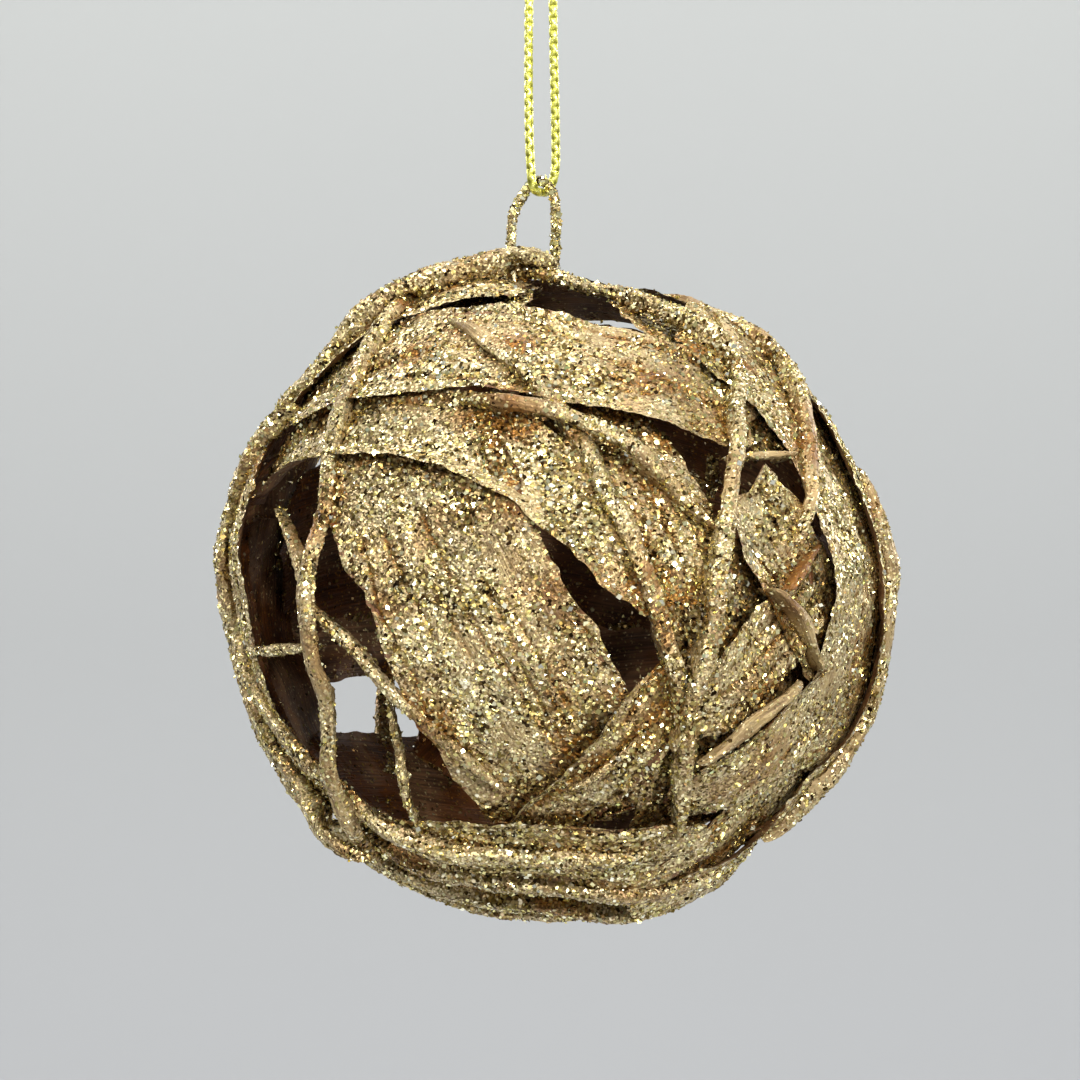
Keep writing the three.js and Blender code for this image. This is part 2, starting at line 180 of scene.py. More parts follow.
# Relief of a strip, in mm
FRAY = 1.1
FRAY_BROAD = 1.3
FRAY_FINE = 0.6
NIBBLE = 0.22
CRUMPLE = 0.42
FINE_RIDGE = 0.1
BROAD_RIDGE = 0.14
SPLIT_DEPTH = 0.3
GRAIN_RELIEF = 0.075
# Share by which a strip's width wavers, and its curl varies along the edge
WIDTH_WAVER = 0.07
CURL_WAVER = 0.9
# Splits: one to so many mm of width, and the half widths between which a split closes, in mm
SPLIT_SPACING = 1.7
SPLIT_EDGE = (0.1, 0.42)

# Relief of a strand: lobes and unevenness as shares of its size, and the rest in mm
LOBE = 0.1
LOBE_NOISE = 0.16
UNEVEN = 0.2
WANDER = 0.22
WAVE = 0.2
GROOVE = 0.08
STRAND_TAPER = 4.5

# Crevices: how far the painted shade of a piece reaches past its edge, and the heights over which it is lost,
# in mm
SHADE_REACH = 1.9
SHADE_LOST = (3, 6)
# Sizes of the bare patches and of the clusters of flakes, in mm
PATCH_SIZE = 5.0
CLUSTER_SIZE = 4.5

# Loose flakes: how many, their half widths in mm from the smallest to the largest, how far they lean as a
# share of their upright, and how deep their points reach in mm
FLAKES_PER_MM2 = 1.9
MORE_ON_STRANDS = 1.3
FLAKE_SIZE = (0.11, 0.42)
FLAKE_TILT = 0.38
FLAKE_ROOT = 0.08
FLAKES_A_PIECE = 16000
# The glitter glue that a strand sits in: how far it spreads, as a share of the strand, and how deep it can
# reach
GLUE_SPREAD = 0.35
GLUE_DEPTH = (0.35, 2.8)


# Arithmetic shared by all the pieces


def lattice_random(seed, *cells):
    """A fixed random number from 0 to 1 for each whole-number cell: the cell's numbers times large primes,
    mixed."""
    total = np.full(cells[0].shape, seed * 668265263, dtype=np.int64)
    for cell, prime in zip(cells, (374761393, 1103515245, 2246822519)):
        total = total + cell.astype(np.int64) * prime
    total &= 0xFFFFFFFF
    total = ((total ^ (total >> 13)) * 1274126177) & 0xFFFFFFFF
    return ((total ^ (total >> 16)) & 0xFFFF) / 65535.0


def smooth_noise(seed, *coordinates):
    """A soft random field from -1 to 1: lattice values one unit apart, blended by 3t squared less 2t
    cubed."""
    coordinates = np.broadcast_arrays(*coordinates)
    cells = [np.floor(c) for c in coordinates]
    blends = [(c - k) ** 2 * (3 - 2 * (c - k)) for c, k in zip(coordinates, cells)]
    total = np.zeros(coordinates[0].shape)
    for corner in range(2 ** len(cells)):
        steps = [(corner >> k) & 1 for k in range(len(cells))]
        weight = np.ones(total.shape)
        for step, blend in zip(steps, blends):
            weight = weight * (blend if step else 1 - blend)
        total += weight * lattice_random(seed, *[c + s for c, s in zip(cells, steps)])
    return 2 * total - 1


def layered_noise(seed, octaves, *coordinates):
    """Soft noise with finer, weaker layers on it: each layer is twice as fine and half as strong as the
    last."""
    total = sum(
        smooth_noise(seed + k, *[c * 2.0**k for c in coordinates]) * 0.5**k for k in range(octaves)
    )
    return total / (2 - 0.5 ** (octaves - 1))


def smooth_step(low, high, x):
    """0 below low, 1 above high, and 3t squared less 2t cubed between."""
    t = np.clip((x - low) / (high - low), 0, 1)
    return t * t * (3 - 2 * t)


def unit(vectors):
    return vectors / np.linalg.norm(vectors, axis=-1, keepdims=True)


def turned_between(angle, first, second):
    """The direction at each angle from the first of two square directions towards the second."""
    return np.cos(angle)[..., None] * first + np.sin(angle)[..., None] * second


def bearing(longitude, latitude):
    """The unit vector from the ball's centre towards a longitude and a latitude in degrees; 0, 0 is the
    front."""
    lon, lat = math.radians(longitude), math.radians(latitude)
    return np.array([math.cos(lat) * math.sin(lon), -math.cos(lat) * math.cos(lon), math.sin(lat)])


class Course:
    """The way of one piece round the ball: the circle through its three bearings, and its height along it."""

    def __init__(self, row):
        self.name, self.kind, start, over, end, lead, tail, self.width, self.lift = row
        a, b, c = bearing(*start), bearing(*over), bearing(*end)
        normal = unit(np.cross(b - a, c - a))
        self.centre = normal * normal.dot(a)
        self.x_axis = a - self.centre
        self.radius = np.linalg.norm(self.x_axis)
        self.x_axis = self.x_axis / self.radius
        self.y_axis = np.cross(normal, self.x_axis)
        turn = math.atan2((c - self.centre).dot(self.y_axis), (c - self.centre).dot(self.x_axis))
        span = turn if turn > 0 else turn + 2 * math.pi
        self.first = -lead * DEGREE / self.radius
        self.last = span + tail * DEGREE / self.radius
        arc = (self.last - self.first) * self.radius
        self.length = arc * (FORMER_RADIUS + self.lift)
        count = math.ceil(arc / DEGREE) + 1
        self.reach = np.linspace(0, self.length, count)
        self.out, self.across = self.at(self.reach)
        self.half = self.half_width(self.reach)

    def at(self, reach):
        """The bearing and the direction across at each distance along the piece."""
        angle = self.first + (self.last - self.first) * np.asarray(reach)[..., None] / self.length
        out = self.centre + self.radius * (np.cos(angle) * self.x_axis + np.sin(angle) * self.y_axis)
        along = np.cos(angle) * self.y_axis - np.sin(angle) * self.x_axis
        return out, unit(np.cross(out, along))

    def half_width(self, reach):
        """Half the width, which narrows towards both cut ends."""
        near = np.clip(np.minimum(reach, self.length - reach) / END_LENGTH, 0, 1)
        return 0.5 * self.width * (END_WIDTH + (1 - END_WIDTH) * near * near * (3 - 2 * near))

    def height(self, reach):
        """The height of the underside above the ball's centre, with its corners rounded off."""
        return np.interp(reach, self.reach, self.low)


def height_under(laid, directions, margin):
    """The greatest height of what is already laid under each direction."""
    height = np.zeros(len(directions))
    for course in laid:
        cosines = directions @ course.out.T
        nearest = cosines.argmax(1)
        offset = np.arccos(np.clip(cosines.max(1), -1, 1)) * course.top[nearest]
        covered = offset < course.half[nearest] + margin
        height = np.where(covered, np.maximum(height, course.top[nearest]), height)
    return height


def lay_on(laid, course):
    """Rests a piece on its lift and on what it crosses: it bows down from each resting place by its bow
    times the distance squared, and the highest of these curves is its underside."""
    share = np.array([-1, -0.67, -0.33, 0, 0.33, 0.67, 1])
    angle = share * (course.half[:, None] + LAY_GAP) / FORMER_RADIUS
    feelers = turned_between(angle, course.out[:, None], course.across[:, None])
    found = height_under(laid, feelers.reshape(-1, 3), LAY_GAP).reshape(angle.shape).max(1)
    rest = np.maximum(FORMER_RADIUS + course.lift, found + LAY_GAP)
    away = course.reach[:, None] - course.reach[None, :]
    low = (rest[None, :] - course.kind["bow"] * away**2).max(1)
    course.top = low + course.kind["thick"]
    spread = np.exp(-0.5 * (away / 1.6) ** 2)
    course.low = (spread * low[None, :]).sum(1) / spread.sum(1)


courses = []
for row in WINDING:
    course = Course(row)
    lay_on(courses, course)
    courses.append(course)


# Meshes


def mesh_piece(name, points, faces, materials, smooth=False, values=None, uv=None, face_materials=None):
    """A mesh object from points in mm and equal faces. A closed surface that came out inside out is turned
    round: the sum of each face's a times (b cross c), with c the last corner, is negative for one."""
    points = np.asarray(points, dtype=np.float64)
    faces = np.asarray(faces, dtype=np.int64)
    a, b, c = points[faces[:, 0]], points[faces[:, 1]], points[faces[:, 2]]
    volume = np.einsum("ij,ij->i", a, np.cross(b, c)).sum()
    if faces.shape[1] == 4:
        d = points[faces[:, 3]]
        volume += np.einsum("ij,ij->i", a, np.cross(c, d)).sum()
    if volume < 0:
        faces = faces[:, ::-1]
    mesh = bpy.data.meshes.new(name)
    corners = faces.shape[1]
    mesh.vertices.add(len(points))
    mesh.vertices.foreach_set("co", (points * MM).astype(np.float32).ravel())
    mesh.loops.add(faces.size)
    mesh.loops.foreach_set("vertex_index", faces.astype(np.int32).ravel())
    mesh.polygons.add(len(faces))
    mesh.polygons.foreach_set("loop_start", np.arange(0, faces.size, corners, dtype=np.int32))
    mesh.polygons.foreach_set("use_smooth", np.full(len(faces), smooth))
    for each in materials:
        mesh.materials.append(each)
    if face_materials is not None:
        mesh.polygons.foreach_set("material_index", np.asarray(face_materials, dtype=np.int32))
    for key, numbers in (values or {}).items():
        attribute = mesh.attributes.new(key, "FLOAT", "POINT")
        attribute.data.foreach_set("value", np.asarray(numbers, dtype=np.float32).ravel())
    if uv is not None:
        layer = mesh.uv_layers.new(name="along_across")
        layer.data.foreach_set("uv", np.asarray(uv)[faces.ravel()].astype(np.float32).ravel())
    mesh.update()
    mesh.validate()
    piece = bpy.data.objects.new(name, mesh)
    bpy.context.scene.collection.objects.link(piece)
    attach(piece, root)
    return piece


def ring_faces(rows, columns):
    """Two triangles for each cell between a ring of points and the next, and the fans that close both ends.
    The middle points of the two ends come after the last ring."""
    row, column = np.meshgrid(np.arange(rows - 1), np.arange(columns), indexing="ij")
    after = (column + 1) % columns
    a, b = row * columns + column, row * columns + after
    c, d = b + columns, a + columns
    quads = np.stack([a, b, c, d], -1).reshape(-1, 4)
    triangles = np.concatenate([quads[:, [0, 1, 2]], quads[:, [0, 2, 3]]])
    rim = np.arange(columns)
    start = np.stack([np.full(columns, rows * columns), (rim + 1) % columns, rim], -1)
    last = (rows - 1) * columns
    end = np.stack([np.full(columns, rows * columns + 1), last + rim, last + (rim + 1) % columns], -1)
    return np.concatenate([triangles, start, end])


def closed_rings(rings):
    """The points of the rings, with the middle of the first and of the last ring after them."""
    return np.concatenate([rings.reshape(-1, 3), rings[[0, -1]].mean(1)])


def crevice(course, directions, heights):
    """How deep each place lies among later pieces, from 0, open, to 1, under or hard against one: the
    strength of the painted shade put there. It falls with the distance from the edge of a piece that passes
    over it."""
    shade = np.zeros(len(directions))
    start = courses.index(course) + 1
    for other in courses[start:]:
        cosines = directions @ other.out.T
        nearest = cosines.argmax(1)
        offset = np.arccos(np.clip(cosines.max(1), -1, 1)) * heights
        beyond = offset - other.half[nearest]
        rise = other.low[nearest] - heights
        reach = SHADE_REACH + 0.5 * np.clip(rise, 0, 2)
        near = 1 - smooth_step(-0.3, 1, beyond / reach)
        shade = np.maximum(shade, near * (1 - smooth_step(*SHADE_LOST, rise)))
    return shade


def coarse_crevice(course, reach, across):
    """The crevice values on a coarse grid of a piece, read off for a finer grid by straight-line blending."""
    rows = np.linspace(0, course.length, max(4, int(course.length / 0.9)))
    columns = np.linspace(-1, 1, 13 if course.kind["wide"] else 3)
    out, side = course.at(rows)
    height = course.height(rows) + course.kind["thick"]
    angle = columns[None, :] * course.half_width(rows)[:, None] / height[:, None]
    directions = turned_between(angle, out[:, None], side[:, None])
    grid = crevice(course, directions.reshape(-1, 3), np.repeat(height, len(columns))).reshape(angle.shape)
    i = np.clip(reach / course.length, 0, 1) * (len(rows) - 1)
    j = (np.clip(across, -1, 1) + 1) / 2 * (len(columns) - 1)
    i0, j0 = np.minimum(i.astype(int), len(rows) - 2), np.minimum(j.astype(int), len(columns) - 2)
    di, dj = i - i0, j - j0
    top = grid[i0, j0] * (1 - dj) + grid[i0, j0 + 1] * dj
    low = grid[i0 + 1, j0] * (1 - dj) + grid[i0 + 1, j0 + 1] * dj
    near = top * (1 - di) + low * di
    return np.clip(near * (1 + 0.5 * smooth_noise(seed_of(course.name) + 30, reach / 2.5, across * 4)), 0, 1)


def seed_of(name):
    return sum((k + 1) * ord(letter) for k, letter in enumerate(name)) % 9973


def coat_of(course, points):
    """How thick the glitter lies: full, less a soft noise over the ball that bares the fibre in patches."""
    bare = BARENESS.get(course.name, USUAL_BARENESS)
    patches = layered_noise(31, 3, *(points.reshape(-1, 3).T / PATCH_SIZE)).reshape(points.shape[:-1])
    return 1 - smooth_step(0.62 - bare, 1.0 - 0.8 * bare, 0.5 + 0.5 * patches)


def cracks(course, s, y):
    """Long thin splits in a strip: each lies at its own place across, wavers by a soft noise along the
    strip, and opens only where a second noise is high. The value is 1 in the middle of a split and 0 beside
    it."""
    seed = seed_of(course.name) + 40
    rng = np.random.default_rng(seed)
    split = np.zeros(s.shape)
    for k in range(int(course.width / SPLIT_SPACING)):
        line = rng.uniform(-0.46, 0.46) * course.width + 0.9 * smooth_noise(seed + k, s / 14.0)
        opened = smooth_step(-0.1, 0.35, smooth_noise(seed + 20 + k, s / 9.0))
        split = np.maximum(split, opened * (1 - smooth_step(*SPLIT_EDGE, np.abs(y - line))))
    return split


def bark_grid(course, cell):
    """The outer and inner skins of a strip as rows of points. A point lies at its distance along the course
    and across it, at the height of the course. Its place along is drawn in or out at the ends by a noise
    across, so that the cut is ragged, and the width wavers by a noise along. The height gets a curl by the
    cube of the place across, a slow crumple and fine ridges that run along."""
    seed = seed_of(course.name)
    rng = np.random.default_rng(seed)
    rows = max(12, int(course.length / cell))
    columns = max(8, int(SPREAD.get(course.name, 1.0) * course.width / cell))
    t, v = np.meshgrid(np.linspace(0, 1, rows), np.linspace(-1, 1, columns), indexing="ij")
    inside = np.ones(t.shape)
    inside[[0, -1]] = 0
    inside[:, [0, -1]] = 0
    t = t + inside * rng.uniform(-BARK_STRAY, BARK_STRAY, t.shape) / rows
    v = v + inside * rng.uniform(-BARK_STRAY, BARK_STRAY, t.shape) * 2 / columns
    fray_start = FRAY + FRAY_BROAD * smooth_noise(seed + 1, v * 3.1)
    fray_start = fray_start + FRAY_FINE * smooth_noise(seed + 2, v * 9.0)
    fray_end = FRAY + FRAY_BROAD * smooth_noise(seed + 3, v * 3.3)
    fray_end = fray_end + FRAY_FINE * smooth_noise(seed + 4, v * 9.0)
    length = course.length + RUN_ON.get(course.name, 0.0)
    s = fray_start + t * (length - fray_start - fray_end)
    beyond = np.maximum(s - course.length, 0)
    edge_noise = np.where(v > 0, smooth_noise(seed + 5, s / 5.0), smooth_noise(seed + 6, s / 5.0))
    nibble = np.where(v > 0, smooth_noise(seed + 7, s / 1.3), smooth_noise(seed + 8, s / 1.3))
    half = course.half_width(s * course.length / length)
    half = SPREAD.get(course.name, 1.0) * (half + END_SPREAD * (0.5 * course.width - half))
    y = v * half * (1 + WIDTH_WAVER * edge_noise) + np.sign(v) * np.abs(v) ** 6 * NIBBLE * nibble
    low = course.height(s) - course.kind["bow"] * beyond**2
    curl_right, curl_left = CURLED.get(course.name, USUAL_CURL)
    curl_right = curl_right * (1 + CURL_WAVER * smooth_noise(seed + 9, s / 13.0))
    curl_left = curl_left * (1 + CURL_WAVER * smooth_noise(seed + 10, s / 13.0))
    size = min(1.0, course.width / 10)
    curl = np.where(v > 0, curl_left, curl_right) * np.abs(v) ** 3 * size
    crumple = CRUMPLE * size * layered_noise(seed + 11, 3, s / 7.0, y / 4.0)
    ridges = FINE_RIDGE * smooth_noise(seed + 12, s / 11.0, y / 0.6)
    ridges = ridges + BROAD_RIDGE * smooth_noise(seed + 13, s / 18.0, y / 1.6)
    split = cracks(course, s, y)
    ridges = ridges - SPLIT_DEPTH * split
    out, side = course.at(s)
    place = low + (curl + crumple)
    angle = y / place
    direction = turned_between(angle, out, side)
    coat = coat_of(course, direction * place[..., None])
    grain = rng.normal(0, 1, t.shape) * GRAIN_RELIEF * (0.3 + 0.7 * coat)
    half_thick = 0.5 * course.kind["thick"]
    rounding = half_thick * (1 - np.abs(v) ** 8)
    outer = direction * (place + half_thick + rounding + ridges + grain)[..., None]
    inner = direction * (place + half_thick - rounding + 0.5 * ridges)[..., None]
    # The shade value is painted shade: brown darkness near later pieces that pass over, and inside the splits
    shade = np.maximum(coarse_crevice(course, s, y / half), 0.85 * split)
    return s, y, outer, inner, coat, shade


def bark_strip(course, cell):
    """A strip as one closed skin: each ring is a row of the outer skin and, turned back, every third column
    of the inner one."""
    s, y, outer, inner, coat, shade = bark_grid(course, cell)
    back = np.arange(outer.shape[1] - 2, 1, -3)
    rings = np.concatenate([outer, inner[:, back]], 1)
    rows, columns = rings.shape[:2]

    def with_back(grid):
        full = np.concatenate([grid, grid[:, back]], 1)
        return np.concatenate([full.ravel(), full[0].mean(keepdims=True), full[-1].mean(keepdims=True)])

    faces = ring_faces(rows, columns)
    column = faces % columns
    on_back = ((column >= outer.shape[1]) & (faces < rows * columns)).any(1)
    along, across = with_back(s), with_back(y)
    piece = mesh_piece(
        course.name + "_bark",
        closed_rings(rings) + BALL_CENTRE,
        faces,
        [glittered_bark, inner_bark],
        values={"coat": with_back(coat), "shade": with_back(shade)},
        uv=np.stack([along, across], -1) / 10,
        face_materials=on_back.astype(int),
    )
    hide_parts(course.name)
    return outer, coat, shade


def glue_depth(course, reach):
    """How deep the glue reaches under a strand: down to the piece below it where that is near, little
    elsewhere."""
    under = height_under(courses[: courses.index(course)], course.out, 0)
    gap = course.low - under + 0.2
    depth = np.where(gap < GLUE_DEPTH[1], np.maximum(gap, GLUE_DEPTH[0]), GLUE_DEPTH[0])
    depth = np.convolve(np.pad(depth, 1, mode="edge"), [0.25, 0.5, 0.25], "valid")
    return np.interp(reach, course.reach, depth)


def vine_grid(course, cell):
    """A strand as rings round its line. A ring is an ellipse as wide and as thick as the strand, made
    uneven by three lobes that turn slowly along it and by a soft noise. The line wanders a little from the
    course."""
    seed = seed_of(course.name)
    rng = np.random.default_rng(seed)
    thick = course.kind["thick"]
    rows = max(12, int(course.length / cell))
    columns = max(10, int(2.6 * (course.width + thick) / 2 / cell))
    t, turn = np.meshgrid(
        np.linspace(0, 1, rows), np.linspace(0, 2 * math.pi, columns, endpoint=False), indexing="ij"
    )
    inside = np.ones(t.shape)
    inside[[0, -1]] = 0
    t = t + inside * rng.uniform(-STRAND_STRAY, STRAND_STRAY, t.shape) / rows
    turn = turn + rng.uniform(-STRAND_STRAY, STRAND_STRAY, t.shape) * 2 * math.pi / columns
    first = BROKEN_OFF.get(course.name, 0.0)
    s = first + t * (course.length - first)
    near = np.minimum(s - first, course.length - s) / min(STRAND_TAPER, 0.08 * course.length)
    near = np.clip(near, 0, 1)
    taper = 0.25 + 0.75 * np.sqrt(near)
    lobes = 1 + LOBE * np.cos(3 * turn + s / 5.0 + seed)
    lobes = lobes + LOBE_NOISE * smooth_noise(seed + 1, s / 1.5, np.cos(turn) * 1.8)
    half = course.half_width(s) * taper * lobes * (1 + UNEVEN * layered_noise(seed + 2, 3, s / 5.0))
    rise = 0.5 * thick * taper * lobes * (1 + UNEVEN * layered_noise(seed + 3, 3, s / 4.0))
    wander = WANDER * smooth_noise(seed + 4, s / 6.0)
    out, side = course.at(s)
    centre = course.height(s) + 0.5 * thick + WAVE * smooth_noise(seed + 5, s / 4.0)
    centre = centre - WAVE - 0.5 * (1 - near) ** 2
    glued = smooth_step(0.1, -0.9, np.sin(turn))
    y = wander + half * (1 + GLUE_SPREAD * glued) * np.cos(turn)
    angle = y / centre
    direction = turned_between(angle, out, side)
    groove = GROOVE * np.cos(7 * turn + 3 * smooth_noise(seed + 6, s / 8.0))
    groove = groove * smooth_noise(seed + 7, s / 4.0, turn)
    radius = centre + (rise + groove) * np.sin(turn) - glue_depth(course, s) * glued
    coat = coat_of(course, direction * radius[..., None])
    radius = radius + rng.normal(0, 1, t.shape) * GRAIN_RELIEF * (0.3 + 0.7 * coat)
    points = direction * radius[..., None]
    # Painted shade: the underside of a strand, facing the ball, is darkened, as are the places near later
    # pieces
    inward = smooth_step(-0.2, -0.9, np.sin(turn))
    shade = np.clip(coarse_crevice(course, s, np.zeros(s.shape)) + 0.6 * inward, 0, 1)
    shade = np.maximum(shade, BROWNED.get(course.name, 0))
    return s, turn, points, coat, shade


def vine_strand(course, cell):
    """A strand as one closed skin."""
    s, turn, points, coat, shade = vine_grid(course, cell)
    rows, columns = s.shape

    def with_ends(grid):
        return np.concatenate([grid.ravel(), grid[0].mean(keepdims=True), grid[-1].mean(keepdims=True)])

    piece = mesh_piece(
        course.name + "_vine",
        closed_rings(points) + BALL_CENTRE,
        ring_faces(rows, columns),
        [glittered_vine],
        values={"coat": with_ends(coat), "shade": with_ends(shade)},
        uv=np.stack([with_ends(s), with_ends(turn) * course.width / 4], -1) / 10,
    )
    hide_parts(course.name)
    return points, coat, shade


def flake_places(grids, per_mm2, rng, rings=False):
    """Random places on the outer skins: a cell of a grid is drawn with a chance by its area, its coat and
    how open it lies, and a place in it by two random shares. Returns the points and their outward
    directions."""
    places, normals = [], []
    for points, coat, shade in grids:
        side_a = points[1:, :-1] - points[:-1, :-1]
        side_b = points[:-1, 1:] - points[:-1, :-1]
        normal = np.cross(side_a, side_b)
        area = np.linalg.norm(normal, axis=-1)
        spots = points[:-1, :-1].reshape(-1, 3).T / CLUSTER_SIZE
        cluster = smooth_step(-0.35, 0.5, layered_noise(77, 3, *spots).reshape(area.shape))
        chance = area * (0.1 + 0.9 * coat[:-1, :-1]) * (0.25 + 1.5 * cluster + 0.6 * shade[:-1, :-1])
        count = int(chance.sum() * per_mm2)
        picked = rng.choice(chance.size, count, p=(chance / chance.sum()).ravel())
        a, b = rng.random((2, count, 1))
        start = points[:-1, :-1].reshape(-1, 3)[picked]
        places.append(start + a * side_a.reshape(-1, 3)[picked] + b * side_b.reshape(-1, 3)[picked])
        away = points[:-1, :-1] - (points[:-1].mean(1, keepdims=True) if rings else 0)
        outward = np.sign((normal * away).sum())
        normals.append(outward * unit(normal.reshape(-1, 3)[picked] + 1e-9))
    return np.concatenate(places), np.concatenate(normals)


def flakes(name, places, normals, rng):
    """Glitter flakes: each is a flat four-cornered plate, tilted at random off the surface, on a short
    point that sits in the glue."""
    count = len(places)
    tilt = unit(normals + rng.normal(0, FLAKE_TILT, (count, 3)))
    aside = unit(np.cross(tilt, rng.normal(0, 1, (count, 3))))
    along = np.cross(tilt, aside)
    half = FLAKE_SIZE[0] + (FLAKE_SIZE[1] - FLAKE_SIZE[0]) * rng.random((count, 1)) ** 2.2
    stretch = rng.uniform(0.7, 1.0, (count, 1))
    lift = rng.uniform(0.02, 0.12, (count, 1))
    middle = places + normals * lift
    corners = np.stack(
        [
            middle + aside * half,
            middle + along * half * stretch,
            middle - aside * half,
            middle - along * half * stretch,
            places - normals * FLAKE_ROOT,
        ],
        1,
    )
    base = (np.arange(count) * 5)[:, None, None]
    pattern = np.array([[0, 1, 2], [0, 2, 3], [1, 0, 4], [2, 1, 4], [3, 2, 4], [0, 3, 4]])
    faces = (base + pattern).reshape(-1, 3)
    look = np.repeat(rng.random(count), 5)
    points = corners.reshape(-1, 3) + BALL_CENTRE
    return mesh_piece(name, points, faces, [glitter_flake], values={"look": look})


# The cord and its knot

# The cord's centre line in mm, as the solid has it: down in front of the wire, under the eye, up behind it
CORD_ROUTE = [
    (-0.65, 0, 0),
    (-1.1, -0.1, -2),
    (-1.45, -0.3, -4.6),
    (-1.5, -0.6, -10),
    (-1.5, -1.0, -16),
    (-1.4, -1.35, -21.5),
    (-1.25, -1.45, -24.5),
    (-1.1, -1.45, -26.2),
    (-0.7, -1.05, -27.2),
    (-0.1, 0, -27.3),
    (0.55, 1.05, -27.2),
    (1.25, 1.5, -26.2),
    (1.65, 1.45, -24.5),
    (1.7, 1.35, -21.5),
    (1.6, 1.0, -16),
    (1.45, 0.6, -10),
    (1.35, 0.3, -4.6),
    (1.1, 0.1, -2),
    (0.65, 0, 0),
]
CORD_DIAMETER = 1.0
BRAID_PITCH = 1.5
KNOT_WRAP_RADIUS = 1.22
KNOT_TURNS = 2.35
# The two ends of the cord as they run up through the knot
KNOT_ENDS = (
    [(-0.62, 0, 0.35), (-0.55, 0.05, 1.2), (-0.5, 0.1, 2.4), (-0.55, 0, 3.8), (-0.8, -0.15, 5.1)],
    [(0.62, 0, 0.35), (0.5, -0.1, 1.2), (0.5, 0, 2.4), (0.6, 0.1, 3.8), (0.85, 0.25, 4.8)],
)
THREADS = 26
THREAD_RADIUS = 0.075


def smooth_path(points, steps):
    """A line through the points: on each stretch the cubic whose slope at a point is half the way from the
    point before it to the point after it."""
    points = np.asarray(points, dtype=float)
    ends = np.concatenate([[2 * points[0] - points[1]], points, [2 * points[-1] - points[-2]]])
    t = np.linspace(0, 1, steps, endpoint=False)[None, :, None]
    a, b, c, d = ends[:-3, None], ends[1:-2, None], ends[2:-1, None], ends[3:, None]
    curve = 0.5 * (2 * b + (c - a) * t + (2 * a - 5 * b + 4 * c - d) * t**2 + (3 * b - a - 3 * c + d) * t**3)
    return np.concatenate([curve.reshape(-1, 3), points[-1:]])


def evenly(path, spacing):
    """The same line with its points evenly spaced, and the distance along it at each."""
    reach = np.concatenate([[0], np.cumsum(np.linalg.norm(np.diff(path, axis=0), axis=1))])
    count = max(8, int(reach[-1] / spacing))
    even = np.linspace(0, reach[-1], count)
    return np.stack([np.interp(even, reach, path[:, k]) for k in range(3)], -1), even


def frame_along(path, towards):
    """The direction along a line at each point, and two across it: the first is the way towards a given
    place with its share along the line taken off, the second is square to both."""
    along = unit(np.gradient(path, axis=0))
    aim = towards - path
    first = unit(aim - (aim * along).sum(-1, keepdims=True) * along)
    return along, first, np.cross(along, first)


def braided_tube(path, reach, towards, diameter, columns):
    """A tube round a line: its radius swells where either of two sets of strands, wound opposite ways,
    comes to the top. Returns the rings and how high each place lies in the braid, from 0 to 1."""
    along, first, second = frame_along(path, towards)
    turn = np.linspace(0, 2 * math.pi, columns, endpoint=False)[None, :]
    twist = 2 * math.pi * reach[:, None] / BRAID_PITCH
    left = np.cos(2 * turn + twist)
    right = np.cos(2 * turn - twist)
    lay = 0.5 + 0.5 * np.maximum(left, right)
    radius = 0.5 * diameter * (0.86 + 0.2 * lay)
    across = turned_between(turn, first[:, None], second[:, None])
    return path[:, None] + radius[..., None] * across, lay


def cord_piece(name, path, towards, columns=20, spacing=0.09):
    """A stretch of braided cord with both ends closed."""
    line, reach = evenly(path, spacing)
    rings, lay = braided_tube(line, reach, towards(line), CORD_DIAMETER, columns)
    full = np.concatenate([lay.ravel(), [0.5, 0.5]])
    along = np.concatenate([np.repeat(reach, columns), [0, reach[-1]]])
    around = np.concatenate([np.tile(np.linspace(0, 1, columns), len(line)), [0, 0]])
    return line, mesh_piece(
        name,
        closed_rings(rings),
        ring_faces(*rings.shape[:2]),
        [braided_lurex],
        smooth=True,
        values={"lay": full},
        uv=np.stack([along, around], -1) / 10,
    )


